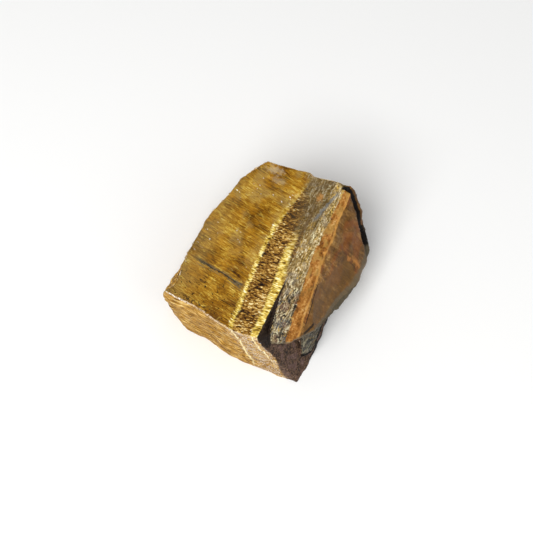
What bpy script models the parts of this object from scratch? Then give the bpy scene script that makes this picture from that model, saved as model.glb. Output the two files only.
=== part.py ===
"""A single chunk of rough tigers eye, about 46 x 49 x 34 mm, broken on every side.

The seams of the stone run from front to back. Golden fibres cross the main seam from side to side. On the
right a grey grained layer with an orange skin lies against the seams as a slab. The front end of the slab has
broken off and bares a flat face of dark ironstone, with a small remnant of the grey layer left on it.

All sizes are in millimetres and all angles in degrees, and MM turns them into Blender's metres. A face is
given by the way it looks and by its distance from the heart, a point inside the stone. The bearing turns from
+X towards +Y, and the slope is the angle above the horizontal.
"""

import bpy
import bmesh
import numpy as np

MM = 0.001

# The heart lies 14 mm above the ground, close to the upright axis of the stone.
HEART = np.array([0.6, 0.1, 14.0])

# Every fracture face: bearing, slope and distance from the heart.
FACES = {
    "top": (-116.0, 76.0, 13.7),
    "left_end": (-96.0, -3.0, 24.2),
    "front_end": (-85.0, -1.0, 24.7),
    "heel": (-120.0, -11.0, 29.2),
    "left_front": (178.0, 6.0, 21.0),
    "left_back": (168.0, 4.0, 19.7),
    "back_corner": (146.0, 6.0, 22.1),
    "back": (97.0, 8.0, 22.9),
    "right_back": (66.0, -5.0, 24.5),
    "ironstone": (-5.0, 25.0, 13.3),
    "right_foot": (5.0, -7.0, 19.4),
    "toe": (-73.0, 2.0, 26.3),
    "slab_end": (-67.0, -12.0, 24.0),
    "slab_bevel": (-9.0, 47.0, 20.5),
    "skin": (0.5, 25.0, 19.6),
    "skin_rim": (10.0, -14.0, 23.9),
    "slab_under_front": (-62.0, -50.0, 9.4),
    "slab_under_back": (-16.0, -35.0, 18.1),
    "remnant": (-5.0, 25.0, 14.4),
    "remnant_end": (-121.4, 14.9, 3.0),
    "underside": (0.0, -90.0, 16.0),
    "remnant_foot": (-61.3, -49.9, 21.9),
    "remnant_right": (47.1, -52.8, 9.7),
}

# The bodies that are grown together, each cut out by its own faces.
SIDES = ("left_front", "left_back", "back_corner", "back", "right_back", "underside")
BODIES = {
    "block": ("top", "left_end", "front_end", "heel", "ironstone", "right_foot", "toe") + SIDES,
    "slab": ("top", "left_end", "front_end", "slab_end", "slab_bevel", "skin", "skin_rim",
             "slab_under_front", "slab_under_back") + SIDES,
    "remnant": ("top", "left_end", "front_end", "heel", "right_foot", "toe",
                "remnant", "remnant_end", "remnant_foot", "remnant_right") + SIDES,
}

EDGE_WEAR = 0.32          # how far the broken edges are rounded
SWELL = 0.55              # height of the broad swellings of a face
SWELL_CELL = 9.0
LUMP = 0.42               # height of the smaller lumps and chips, where the stone is roughest
LUMP_CELL = 2.8
SMOOTH_SHARE = 0.35       # share of the lumps on the golden face and on the skin
SIDE_SHARE = 0.85         # share of the lumps on the broken sides
GREY_LEVEL = (20.0, 24.0)  # heights between which the lumps of the grey layer fade in

# The seams lie square to this direction. Their places are measured along it from the heart.
SEAM_FACE = (-5.0, 25.0)
GREY_START = 13.6
GREY_END = 18.6
LAYER_EDGE = 0.5          # half the width over which one layer passes into the next

# The flaked notch between the ironstone face and the slab: it opens towards the front.
NOTCH_SIDE = (-164.5, 0.0, -4.4)
NOTCH_EDGE = 0.35

# Hollows struck out of the faces: centre from the heart, and radius, of the round that each one follows.
HOLLOWS = {
    "shell on the skin": ((65.2, -1.2, 23.8), 51.0),
    "left dent": ((-26.5, -17.9, 8.6), 7.6),
    "back chip": ((-13.0, 32.0, 22.0), 9.4),
    "heel chip": ((-18.0, -31.0, -9.0), 8.6),
    "back shell": ((2.0, 45.0, -12.0), 23.6),
    "left shell": ((-45.4, 6.0, -4.0), 27.2),
    "left foot chip": ((-27.0, 17.0, -13.0), 9.6),
    "back foot chip": ((18.0, 29.0, -14.0), 10.8),
}

# The step across the golden face, from the heart: the front part lies lower.
LEDGE_START = np.array([-20.3, -11.4])
LEDGE_END = np.array([3.4, -13.6])
LEDGE_DROP = 0.6
LEDGE_WIDTH = 0.4
LEDGE_WANDER = 0.7        # how far the step strays from its line
LEDGE_FADE = 0.3          # share of its length after which the step starts to die out

# The crack between the skin and the dark rim behind it.
CRACK_FACE = (82.0, -10.0, 18.3)
CRACK_FLOOR = 0.42        # half its width at the bottom
CRACK_MOUTH = 0.82        # half its width at the surface
CRACK_DEPTH = 2.2
CRACK_WANDER = 0.5
CRACK_FOOT = (8.0, 12.0)  # heights between which it opens, going up

# Steps on the broken back, where the stone parted along its seams: seam place and height of each.
BACK_STEPS = ((-9.0, 0.5), (7.0, -0.9), (16.0, 0.5))
STEP_WIDTH = 0.5
STEP_WANDER = 0.8

# Shares of a way from the heart that point up, right or back, between which a detail fades in.
UPWARD = (0.1, 0.35)
RIGHTWARD = (0.3, 0.5)
BACKWARD = (0.55, 0.8)

LEAST_SHARE = 0.02        # a way that leans towards a face by less than this never meets it
FAR_OFF = 500.0
WANDER_CELL = 5.0
NOISE_TABLE = 4096
NOISE_STRIDES = (73856093, 19349663, 83492791)

BALL_ROUNDS = 8           # subdivisions of the ball that is pushed out to the faces
KEPT_TRIANGLES = 9000     # what is left after flat stretches are merged
GROUND = (120.0, 120.0, 40.0)


def looking(bearing, slope):
    """Unit vector of a face that looks along this bearing and slope."""
    turn, rise = np.radians(bearing), np.radians(slope)
    return np.array([np.cos(turn) * np.cos(rise), np.sin(turn) * np.cos(rise), np.sin(rise)])


def ease(values, start, end):
    """0 before start, 1 after end, and a smooth rise between them."""
    share = np.clip((values - start) / (end - start), 0.0, 1.0)
    return share * share * (3.0 - 2.0 * share)


def lattice_noise(points, cell, seed):
    """Smooth noise from -1 to 1 that changes over about one cell."""
    table = np.random.default_rng(seed).uniform(-1.0, 1.0, NOISE_TABLE)
    scaled = points / cell
    corner = np.floor(scaled).astype(np.int64)
    share = scaled - corner
    share = share * share * (3.0 - 2.0 * share)
    total = np.zeros(len(points))
    for dx in (0, 1):
        for dy in (0, 1):
            for dz in (0, 1):
                scattered = (corner + np.array([dx, dy, dz])) * np.array(NOISE_STRIDES)
                index = scattered[:, 0] ^ scattered[:, 1] ^ scattered[:, 2]
                weight = np.abs(1 - dx - share[:, 0])
                weight = weight * np.abs(1 - dy - share[:, 1])
                weight = weight * np.abs(1 - dz - share[:, 2])
                total += weight * table[index % NOISE_TABLE]
    return total


def face_reach(ways, name, swelling):
    """Distance from the heart to a face along each way, far off where the way never meets it."""
    bearing, slope, distance = FACES[name]
    towards = ways @ looking(bearing, slope)
    reach = (distance + swelling) / np.maximum(towards, LEAST_SHARE)
    return np.where(towards > LEAST_SHARE, reach, FAR_OFF)


def body_reach(ways, faces, swellings):
    """Distance to the nearest of the faces along each way, with the edges between them worn round."""
    reaches = np.stack([face_reach(ways, name, swellings[name]) for name in faces])
    nearest = reaches.min(axis=0)
    return nearest - EDGE_WEAR * np.log(np.exp((nearest - reaches) / EDGE_WEAR).sum(axis=0))


def joined_reach(ways, swellings):
    """Distance to the outside of the grown-together bodies, and of the block alone."""
    reaches = {name: body_reach(ways, faces, swellings) for name, faces in BODIES.items()}
    return np.max(list(reaches.values()), axis=0), reaches["block"]


def spot(ways, reach):
    """The points at these distances from the heart."""
    return HEART + ways * reach[:, None]


def beyond(points, face):
    """How far each point lies beyond a face."""
    bearing, slope, distance = face
    return (points - HEART) @ looking(bearing, slope) - distance


def with_notch(ways, outer, block):
    """Bares the ironstone where the slab's front end has flaked off beside the seam."""
    side = beyond(spot(ways, outer), NOTCH_SIDE)
    return outer - (outer - block) * ease(side, -NOTCH_EDGE, NOTCH_EDGE)


def with_ledge(ways, reach):
    """Lowers the front part of the golden face, with the step dying out towards the bright bands."""
    points = spot(ways, reach)
    along = LEDGE_END - LEDGE_START
    length = np.hypot(*along)
    along = along / length
    offset = points[:, :2] - HEART[:2] - LEDGE_START
    run = offset @ along
    across = offset[:, 0] * along[1] - offset[:, 1] * along[0]
    across = across + LEDGE_WANDER * lattice_noise(points, WANDER_CELL, 61)
    drop = ease(across, -LEDGE_WIDTH, LEDGE_WIDTH) * (1.0 - ease(run, LEDGE_FADE * length, length))
    return reach - LEDGE_DROP * drop * ease(ways[:, 2], *UPWARD)


def with_crack(ways, reach):
    """Opens the crack that parts the orange skin from the dark rim behind it."""
    points = spot(ways, reach)
    off = beyond(points, CRACK_FACE) + CRACK_WANDER * lattice_noise(points, WANDER_CELL, 71)
    on_slab = ease(ways[:, 0], *RIGHTWARD) * ease(points[:, 2], *CRACK_FOOT)
    return reach - CRACK_DEPTH * on_slab * (1.0 - ease(np.abs(off), CRACK_FLOOR, CRACK_MOUTH))


def with_hollows(ways, reach):
    """Cuts the struck hollows: along each way the stone ends where it meets the round."""
    for centre, radius in HOLLOWS.values():
        offset = np.array(centre)
        middle = ways @ offset
        inside = middle * middle - offset @ offset + radius * radius
        meets = middle - np.sqrt(np.maximum(inside, 0.0))
        reach = np.where((inside > 0.0) & (middle > 0.0), np.minimum(reach, meets), reach)
    return reach


def seam_place(points):
    """How far each point lies along the direction that crosses the seams."""
    return (points - HEART) @ looking(*SEAM_FACE)


def with_back_steps(ways, reach):
    """Raises and lowers the broken back along the seams."""
    points = spot(ways, reach)
    place = seam_place(points) + STEP_WANDER * lattice_noise(points, WANDER_CELL, 81)
    backward = ease(ways[:, 1], *BACKWARD)
    for start, height in BACK_STEPS:
        risen = ease(place, start - STEP_WIDTH, start + STEP_WIDTH) - 0.5
        reach = reach + height * backward * risen
    return reach


def lump_share(ways, points):
    """How rough the stone is: roughest on the grey layer, smooth on the golden face and the skin."""
    place = seam_place(points)
    past_start = ease(place, GREY_START - LAYER_EDGE, GREY_START + LAYER_EDGE)
    past_end = ease(place, GREY_END - LAYER_EDGE, GREY_END + LAYER_EDGE)
    smooth = np.maximum(ease(ways[:, 2], *UPWARD), past_start)
    share = SIDE_SHARE + (SMOOTH_SHARE - SIDE_SHARE) * smooth
    grey = past_start * (1.0 - past_end) * ease(points[:, 2], *GREY_LEVEL)
    return share + (1.0 - share) * grey


def stone_reach(ways):
    """Distance from the heart to the stone's surface along each way."""
    level = {name: 0.0 for name in FACES}
    first, _ = joined_reach(ways, level)
    points = spot(ways, first)
    swellings = {name: SWELL * lattice_noise(points, SWELL_CELL, seed)
                 for seed, name in enumerate(FACES)}
    outer, block = joined_reach(ways, swellings)
    reach = with_notch(ways, outer, block)
    reach = with_ledge(ways, reach)
    reach = with_crack(ways, reach)
    reach = with_hollows(ways, reach)
    reach = with_back_steps(ways, reach)
    points = spot(ways, reach)
    lumps = lattice_noise(points, LUMP_CELL, 40) + 0.5 * lattice_noise(points, 0.5 * LUMP_CELL, 41)
    return reach + LUMP * lump_share(ways, points) * lumps


def clear_scene():
    """Takes out whatever the file holds."""
    for item in list(bpy.data.objects):
        bpy.data.objects.remove(item, do_unlink=True)


def stone_material():
    """Silky golden brown stone."""
    material = bpy.data.materials.new("tigers_eye")
    material.use_nodes = True
    shader = material.node_tree.nodes["Principled BSDF"]
    shader.inputs["Base Color"].default_value = (0.36, 0.18, 0.045, 1.0)
    shader.inputs["Roughness"].default_value = 0.5
    shader.inputs["Metallic"].default_value = 0.0
    return material


def ground_block():
    """A block below the ground, which cuts the flat place that the stone rests on."""
    mesh = bpy.data.meshes.new("ground")
    shape = bmesh.new()
    bmesh.ops.create_cube(shape, size=1.0)
    bmesh.ops.scale(shape, vec=[side * MM for side in GROUND], verts=shape.verts)
    bmesh.ops.translate(shape, vec=(0.0, 0.0, -0.5 * GROUND[2] * MM), verts=shape.verts)
    shape.to_mesh(mesh)
    shape.free()
    block = bpy.data.objects.new("ground", mesh)
    bpy.context.collection.objects.link(block)
    block.hide_render = True
    block.display_type = "WIRE"
    return block


def stone_mesh():
    """A ball whose every point is pushed out from the heart to the stone's surface."""
    shape = bmesh.new()
    bmesh.ops.create_icosphere(shape, subdivisions=BALL_ROUNDS, radius=1.0)
    ways = np.array([vertex.co[:] for vertex in shape.verts])
    ways = ways / np.linalg.norm(ways, axis=1)[:, None]
    points = spot(ways, stone_reach(ways)) * MM
    for vertex, point in zip(shape.verts, points):
        vertex.co = point
    mesh = bpy.data.meshes.new("stone")
    shape.to_mesh(mesh)
    shape.free()
    return mesh


def build_stone():
    """The stone: merged to few triangles, then cut flat where it rests."""
    mesh = stone_mesh()
    mesh.materials.append(stone_material())
    stone = bpy.data.objects.new("stone", mesh)
    bpy.context.collection.objects.link(stone)
    merge = stone.modifiers.new("merge flat stretches", "DECIMATE")
    merge.decimate_type = "COLLAPSE"
    merge.ratio = KEPT_TRIANGLES / len(mesh.polygons)
    rest = stone.modifiers.new("rest", "BOOLEAN")
    rest.operation = "DIFFERENCE"
    rest.solver = "EXACT"
    rest.object = ground_block()
    return stone


clear_scene()
build_stone()
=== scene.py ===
"""The finished look of a single chunk of rough tigers eye, about 46 x 49 x 34 mm, broken on every side.

The stone is one closed surface. Each of its points lies on a way out from the heart, a point inside the
stone, at the distance where that way leaves the stone. The seams run from front to back. Golden fibres cross
the main seam from side to side, and a grey grained layer under an orange skin lies against it on the right as
a slab, whose front end has broken off and bares a face of dark ironstone.

Lengths are in millimetres and angles in degrees, and MM turns them into Blender's metres. The bearing of a
face turns from +X towards +Y, and its slope is the angle above the horizontal.
"""

import logging
from dataclasses import dataclass, field, replace
from enum import Enum, IntEnum
from typing import Any

import bpy
import numpy as np
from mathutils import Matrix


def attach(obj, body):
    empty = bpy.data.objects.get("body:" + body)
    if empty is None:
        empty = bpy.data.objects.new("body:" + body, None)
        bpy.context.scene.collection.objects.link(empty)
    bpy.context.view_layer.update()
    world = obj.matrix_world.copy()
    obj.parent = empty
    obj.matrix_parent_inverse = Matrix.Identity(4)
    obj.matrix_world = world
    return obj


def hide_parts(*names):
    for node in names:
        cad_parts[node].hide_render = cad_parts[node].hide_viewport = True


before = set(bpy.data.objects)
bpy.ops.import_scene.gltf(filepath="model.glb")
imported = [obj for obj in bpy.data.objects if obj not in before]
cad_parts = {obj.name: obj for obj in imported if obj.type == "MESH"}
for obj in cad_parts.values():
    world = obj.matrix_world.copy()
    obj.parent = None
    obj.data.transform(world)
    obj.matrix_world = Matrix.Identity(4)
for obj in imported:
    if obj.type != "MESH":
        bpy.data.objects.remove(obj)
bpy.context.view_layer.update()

MM = 0.001
HEART = np.array([0.6, 0.1, 14.0])
NODE = "stone"
SPECULAR_LEVEL = 0.12

NOISE_TABLE = 4096
NOISE_STRIDES = np.array([73856093, 19349663, 83492791])
LEAST_SHARE = 0.02      # a way that leans towards a face by less than this never meets it
FAR_OFF = 500.0
EDGE_SPAN = 5.0         # distances past an edge are kept within this much either way

Array = np.ndarray
Term = Any
Span = tuple[float, float]
Sizes = tuple[float, float, float]
Stops = tuple[tuple[float, str], ...]

log = logging.getLogger("rough_tigers_eye")


class Draw(IntEnum):
    """The table of random heights that each noise uses. The swellings of the faces use 0 and up."""

    LUMPS = 40
    SMALL_LUMPS = 41
    LEDGE = 61
    CRACK = 71
    BACK_STEPS = 81
    SILK = 101
    FINE_SILK = 102
    FLECKS = 103
    SPLINTERS = 104
    FINE_SPLINTERS = 105
    HACKLES = 106
    FINE_HACKLES = 107
    GRAINS = 108
    FINE_GRAINS = 109
    PITS = 110
    FOLDS = 111


def ease(values: Array, start: float, end: float) -> Array:
    """Rises smoothly from 0 to 1: 3t^2 - 2t^3, where t is the share of the way from start to end.

    Args:
        values: The numbers to read.
        start: Where the rise begins.
        end: Where it is complete.

    Returns:
        A share from 0 to 1 for each number.
    """
    share = np.clip((values - start) / (end - start), 0.0, 1.0)
    return share * share * (3.0 - 2.0 * share)


def lattice_noise(points: Array, cell: float, seed: int) -> Array:
    """Smooth noise: random heights on the corners of a cubic lattice, eased between the eight nearest.

    Args:
        points: Places, one row each.
        cell: Side of a lattice cell, over which the noise changes.
        seed: Which table of random heights to use.

    Returns:
        A number from -1 to 1 for each place.
    """
    table = np.random.default_rng(int(seed)).uniform(-1.0, 1.0, NOISE_TABLE)
    scaled = points / cell
    corner = np.floor(scaled).astype(np.int64)
    share = scaled - corner
    share = share * share * (3.0 - 2.0 * share)
    total = np.zeros(len(points))
    for step in np.ndindex(2, 2, 2):
        scattered = (corner + step) * NOISE_STRIDES
        index = scattered[:, 0] ^ scattered[:, 1] ^ scattered[:, 2]
        total += np.abs(1 - np.array(step) - share).prod(axis=1) * table[index % NOISE_TABLE]
    return total


def within(distances: Array) -> Array:
    """Distances past an edge, kept within the span."""
    return np.clip(distances, -EDGE_SPAN, EDGE_SPAN)


def spot(ways: Array, reach: Array) -> Array:
    """The points at these distances from the heart."""
    return HEART + ways * reach[:, None]


@dataclass(frozen=True)
class Face:
    """A flat fracture face: the way it looks, and its distance from the heart."""

    bearing: float
    slope: float
    distance: float = 0.0

    def normal(self) -> Array:
        """Unit vector that the face looks along."""
        turn, rise = np.radians(self.bearing), np.radians(self.slope)
        return np.array([np.cos(turn) * np.cos(rise), np.sin(turn) * np.cos(rise), np.sin(rise)])

    def beyond(self, points: Array) -> Array:
        """How far each point lies beyond the face."""
        return (points - HEART) @ self.normal() - self.distance

    def reach(self, ways: Array, swelling: Array | float) -> Array:
        """Distance at which each way meets the face: (distance + swelling) / (way . normal).

        Args:
            ways: Unit vectors out from the heart.
            swelling: How far the face stands out where each way meets it.

        Returns:
            The distance from the heart, far off where the way never meets the face.
        """
        towards = ways @ self.normal()
        reach = (self.distance + swelling) / np.maximum(towards, LEAST_SHARE)
        return np.where(towards > LEAST_SHARE, reach, FAR_OFF)


@dataclass(frozen=True)
class Hollow:
    """A round hollow struck out of the stone: part of a ball, whose centre is given from the heart."""

    centre: Sizes
    radius: float

    def cut(self, ways: Array, reach: Array) -> Array:
        """Ends each way where it enters the ball: m - sqrt(m^2 - c^2 + r^2), with its middle m on the way."""
        offset = np.array(self.centre)
        middle = ways @ offset
        inside = middle * middle - offset @ offset + self.radius * self.radius
        meets = middle - np.sqrt(np.maximum(inside, 0.0))
        return np.where((inside > 0.0) & (middle > 0.0), np.minimum(reach, meets), reach)


@dataclass(frozen=True)
class Seams:
    """How the seams lie in the stone, and how the fibres run across them."""

    face: Face = Face(-5.0, 25.0)
    fibre: Face = Face(-10.0, 4.0)
    lean: float = 0.05          # how far a seam strays for each millimetre along it
    bow: float = 0.0055         # and for each square millimetre
    turn: float = 0.00008       # and for each cubic millimetre
    bow_fades: Span = (6.0, 13.0)
    kink_place: float = 4.6     # past the first bright seam the fibres turn by this much
    kink: float = 0.3

    def place(self, points: Array) -> Array:
        """Distance from the heart across the seams, in a straight line."""
        return (points - HEART) @ self.face.normal()

    def bent_place(self, points: Array) -> Array:
        """Distance across the seams less their bow: lean y + bow y^2 + turn y^3, fading to the right."""
        plain = self.place(points)
        along = points[:, 1] - HEART[1]
        bend = along * (self.lean + along * (self.bow + self.turn * along))
        return plain - bend * (1.0 - ease(plain, *self.bow_fades))

    def down(self) -> Array:
        """Unit vector that runs down the skin, square to the seams' own line."""
        return np.cross(self.face.normal(), Face(self.face.bearing + 90.0, 0.0).normal())

    def fibre_axes(self) -> tuple[Array, Array, Array]:
        """Unit vectors along the fibres, level across them, and up across them."""
        level = Face(self.fibre.bearing + 90.0, 0.0).normal()
        run = self.fibre.normal()
        return run, level, np.cross(run, level)

    def fibre_frame(self, points: Array) -> Array:
        """Places along and across the fibres, with the kink past the first bright seam taken out."""
        run, level, rise = self.fibre_axes()
        offset = points - HEART
        past = np.maximum(self.bent_place(points) - self.kink_place, 0.0)
        return np.stack([offset @ run, offset @ level - self.kink * past, offset @ rise], axis=1)


@dataclass(frozen=True)
class Survey:
    """What the stone is like where each way leaves it. Every field holds one number for each way.

    An edge is a distance past the edge of a kind of face: above 0 on such a face, below 0 off it.
    """

    reach: Array
    top_edge: Array
    end_edge: Array
    skin_edge: Array
    under_edge: Array
    iron_edge: Array
    crust_edge: Array
    slab_over: Array
    remnant_over: Array
    crack_depth: Array
    past_crack: Array
    ledge_across: Array
    ledge_run: Array
    fibre_ends: Array

    def layers(self) -> dict[str, Array]:
        """The fields that the finish reads, by name."""
        return {name: value for name, value in vars(self).items() if name not in ("reach", "fibre_ends")}


class Body(Enum):
    """The bodies that are grown together in the stone."""

    BLOCK = "block"
    SLAB = "slab"
    REMNANT = "remnant"


SIDES = ("left_front", "left_back", "back_corner", "back", "right_back", "underside")
ENDS = ("left_end", "front_end", "heel", "slab_end", "remnant_end")
IRONSTONE = ("ironstone", "right_foot", "toe")
UNDERSIDES = ("slab_under_front", "slab_under_back", "skin_rim")
# faces that look down and back, away from the key light, which are given nearly black painted shade
PAINTED_SHADE_FACES = ("right_back", "right_foot", "remnant_right", "remnant_foot",
           "slab_under_front", "slab_under_back")


@dataclass
class StoneForm:
    """The outer form of the stone, as the distance from the heart along any way."""

    seams: Seams = field(default_factory=Seams)
    faces: dict[str, Face] = field(default_factory=lambda: {
        "top": Face(-116.0, 76.0, 13.7),
        "left_end": Face(-96.0, -3.0, 24.2),
        "front_end": Face(-85.0, -1.0, 24.7),
        "heel": Face(-120.0, -11.0, 29.2),
        "left_front": Face(178.0, 6.0, 21.0),
        "left_back": Face(168.0, 4.0, 19.7),
        "back_corner": Face(146.0, 6.0, 22.1),
        "back": Face(97.0, 8.0, 22.9),
        "right_back": Face(66.0, -5.0, 24.5),
        "ironstone": Face(-5.0, 25.0, 13.3),
        "right_foot": Face(5.0, -7.0, 19.4),
        "toe": Face(-73.0, 2.0, 26.3),
        "slab_end": Face(-67.0, -12.0, 24.0),
        "slab_bevel": Face(-9.0, 47.0, 20.5),
        "skin": Face(0.5, 25.0, 19.6),
        "skin_rim": Face(10.0, -14.0, 23.9),
        "slab_under_front": Face(-62.0, -50.0, 9.4),
        "slab_under_back": Face(-16.0, -35.0, 18.1),
        "remnant": Face(-5.0, 25.0, 14.4),
        "remnant_end": Face(-121.4, 14.9, 3.0),
        "underside": Face(0.0, -90.0, 16.0),
        "remnant_foot": Face(-61.3, -49.9, 21.9),
        "remnant_right": Face(47.1, -52.8, 9.7),
    })
    bodies: dict[Body, tuple[str, ...]] = field(default_factory=lambda: {
        Body.BLOCK: ("top", "left_end", "front_end", "heel", "ironstone", "right_foot", "toe") + SIDES,
        Body.SLAB: ("top", "left_end", "front_end", "slab_end", "slab_bevel", "skin", "skin_rim",
                    "slab_under_front", "slab_under_back") + SIDES,
        Body.REMNANT: ("top", "left_end", "front_end", "heel", "right_foot", "toe",
                       "remnant", "remnant_end", "remnant_foot", "remnant_right") + SIDES,
    })
    hollows: dict[str, Hollow] = field(default_factory=lambda: {
        "shell on the skin": Hollow((65.2, -1.2, 23.8), 51.0),
        "left dent": Hollow((-26.5, -17.9, 8.6), 7.6),
        "back chip": Hollow((-13.0, 32.0, 22.0), 9.4),
        "heel chip": Hollow((-18.0, -31.0, -9.0), 8.6),
        "back shell": Hollow((2.0, 45.0, -12.0), 23.6),
        "left shell": Hollow((-45.4, 6.0, -4.0), 27.2),
        "left foot chip": Hollow((-27.0, 17.0, -13.0), 9.6),
        "back foot chip": Hollow((18.0, 29.0, -14.0), 10.8),
    })
    edge_wear: float = 0.32         # how far the broken edges are rounded
    swell: float = 0.55             # height of the broad swellings of a face
    swell_cell: float = 9.0
    lump: float = 0.42              # height of the smaller lumps, where the stone is roughest
    lump_cell: float = 2.8
    smooth_share: float = 0.35      # share of the lumps on the golden face and on the skin
    side_share: float = 0.85        # share of the lumps on the broken sides
    grey: Span = (13.6, 18.6)       # where the grey layer starts and ends across the seams
    grey_level: Span = (20.0, 24.0)  # heights between which its lumps fade in
    layer_edge: float = 0.5
    notch_side: Face = Face(-164.5, 0.0, -4.4)
    notch_edge: float = 0.35
    ledge_start: Span = (-20.3, -11.4)  # along X and Y from the heart, like its end
    ledge_end: Span = (3.4, -13.6)
    ledge_drop: float = 0.6
    ledge_width: float = 0.4
    ledge_wander: float = 0.7       # how far the step strays from its line
    ledge_fade: float = 0.3         # share of its length after which it starts to die out
    crack: Face = Face(82.0, -10.0, 18.3)
    crack_sides: Span = (0.42, 0.82)  # half its width at the bottom and at the surface
    crack_depth: float = 2.2
    crack_wander: float = 0.5
    crack_foot: Span = (8.0, 12.0)  # heights between which it opens, going up
    back_steps: tuple[Span, ...] = ((-9.0, 0.5), (7.0, -0.9), (16.0, 0.5))  # place and height of each
    step_width: float = 0.5
    step_wander: float = 0.8
    wander_cell: float = 5.0
    upward: Span = (0.1, 0.35)      # shares of a way that point up, between which a detail fades in
    rightward: Span = (0.3, 0.5)
    backward: Span = (0.55, 0.8)
    squareness: Span = (0.55, 0.85)  # how squarely fibres meet a face, from lying along it to ending in it

    def face_reaches(self, ways: Array, swellings: dict[str, Array]) -> dict[str, Array]:
        """Distance from the heart to every face along each way."""
        return {name: face.reach(ways, swellings.get(name, 0.0)) for name, face in self.faces.items()}

    def body_reach(self, reaches: dict[str, Array], body: Body) -> Array:
        """Nearest face of a body, with its edges worn: n - w log(sum of exp((n - r) / w)).

        Args:
            reaches: Distance to every face along each way.
            body: The body whose faces count.

        Returns:
            Distance from the heart to the outside of the body.
        """
        own = np.stack([reaches[name] for name in self.bodies[body]])
        nearest = own.min(axis=0)
        return nearest - self.edge_wear * np.log(np.exp((nearest - own) / self.edge_wear).sum(axis=0))

    def past_edge(self, reaches: dict[str, Array], body: Body, kind: tuple[str, ...]) -> Array:
        """How much nearer the faces of one kind are than the body's others."""
        inner = [reaches[name] for name in self.bodies[body] if name in kind]
        outer = [reaches[name] for name in self.bodies[body] if name not in kind]
        if not inner:
            return np.full(len(outer[0]), -EDGE_SPAN)
        return within(np.min(outer, axis=0) - np.min(inner, axis=0))

    def fibre_ends(self, reaches: dict[str, Array]) -> Array:
        """1 where the fibres end in the block's face, and 0 where they lie along it.

        Args:
            reaches: Distance to every face along each way.

        Returns:
            The share, from how squarely the fibres meet the nearest face.
        """
        names = self.bodies[Body.BLOCK]
        nearest = np.argmin(np.stack([reaches[name] for name in names]), axis=0)
        run = self.seams.fibre.normal()
        square = np.array([abs(self.faces[name].normal() @ run) for name in names])
        return ease(square[nearest], *self.squareness)

    def ledge_places(self, ways: Array, reach: Array) -> tuple[Array, Array]:
        """Distance past the step across the golden face, and the share of its length from left to right."""
        points = spot(ways, reach)
        start, end = np.array(self.ledge_start), np.array(self.ledge_end)
        length = np.hypot(*(end - start))
        along = (end - start) / length
        offset = points[:, :2] - HEART[:2] - start
        across = offset[:, 0] * along[1] - offset[:, 1] * along[0]
        wander = self.ledge_wander * lattice_noise(points, self.wander_cell, Draw.LEDGE)
        return across + wander, offset @ along / length

    def with_ledge(self, ways: Array, reach: Array) -> Array:
        """Lowers the front part of the golden face by a step that dies out towards the bright seams."""
        across, run = self.ledge_places(ways, reach)
        drop = ease(across, -self.ledge_width, self.ledge_width) * (1.0 - ease(run, self.ledge_fade, 1.0))
        return reach - self.ledge_drop * drop * ease(ways[:, 2], *self.upward)

    def crack_places(self, ways: Array, reach: Array) -> tuple[Array, Array]:
        """Distance past the middle of the crack, and how far the crack opens there."""
        points = spot(ways, reach)
        wander = self.crack_wander * lattice_noise(points, self.wander_cell, Draw.CRACK)
        on_slab = ease(ways[:, 0], *self.rightward) * ease(points[:, 2], *self.crack_foot)
        return self.crack.beyond(points) + wander, on_slab

    def with_crack(self, ways: Array, reach: Array) -> Array:
        """Opens the crack that parts the orange skin from the dark rim behind it."""
        off, on_slab = self.crack_places(ways, reach)
        return reach - self.crack_depth * on_slab * (1.0 - ease(np.abs(off), *self.crack_sides))

    def with_back_steps(self, ways: Array, reach: Array) -> Array:
        """Raises and lowers the broken back where the stone parted along its seams."""
        points = spot(ways, reach)
        wander = self.step_wander * lattice_noise(points, self.wander_cell, Draw.BACK_STEPS)
        place = self.seams.place(points) + wander
        backward = ease(ways[:, 1], *self.backward)
        for start, height in self.back_steps:
            risen = ease(place, start - self.step_width, start + self.step_width) - 0.5
            reach = reach + height * backward * risen
        return reach

    def lump_share(self, ways: Array, points: Array) -> Array:
        """How rough the stone is: roughest on the grey layer, smooth on the golden face and the skin."""
        place = self.seams.place(points)
        past_start = ease(place, self.grey[0] - self.layer_edge, self.grey[0] + self.layer_edge)
        past_end = ease(place, self.grey[1] - self.layer_edge, self.grey[1] + self.layer_edge)
        smooth = np.maximum(ease(ways[:, 2], *self.upward), past_start)
        share = self.side_share + (self.smooth_share - self.side_share) * smooth
        grained = past_start * (1.0 - past_end) * ease(points[:, 2], *self.grey_level)
        return share + (1.0 - share) * grained

    def survey(self, ways: Array) -> Survey:
        """Finds the surface along each way, and what kind of face lies there.

        Args:
            ways: Unit vectors out from the heart.

        Returns:
            The distances, without the fine relief and not yet cut off at the ground.
        """
        level = self.face_reaches(ways, {})
        first = np.max([self.body_reach(level, body) for body in Body], axis=0)
        points = spot(ways, first)
        swellings = {name: self.swell * lattice_noise(points, self.swell_cell, seed)
                     for seed, name in enumerate(self.faces)}
        reaches = self.face_reaches(ways, swellings)
        block, slab, remnant = (self.body_reach(reaches, body) for body in Body)
        outer = np.maximum(np.maximum(block, slab), remnant)
        side = self.notch_side.beyond(spot(ways, outer))
        reach = outer - (outer - block) * ease(side, -self.notch_edge, self.notch_edge)
        across, run = self.ledge_places(ways, reach)
        stepped = self.with_ledge(ways, reach)
        past_crack, open_crack = self.crack_places(ways, stepped)
        cracked = self.with_crack(ways, stepped)
        reach = cracked
        for hollow in self.hollows.values():
            reach = hollow.cut(ways, reach)
        reach = self.with_back_steps(ways, reach)
        points = spot(ways, reach)
        lumps = (lattice_noise(points, self.lump_cell, Draw.LUMPS)
                 + 0.5 * lattice_noise(points, 0.5 * self.lump_cell, Draw.SMALL_LUMPS))
        reach = reach + self.lump * self.lump_share(ways, points) * lumps

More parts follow.
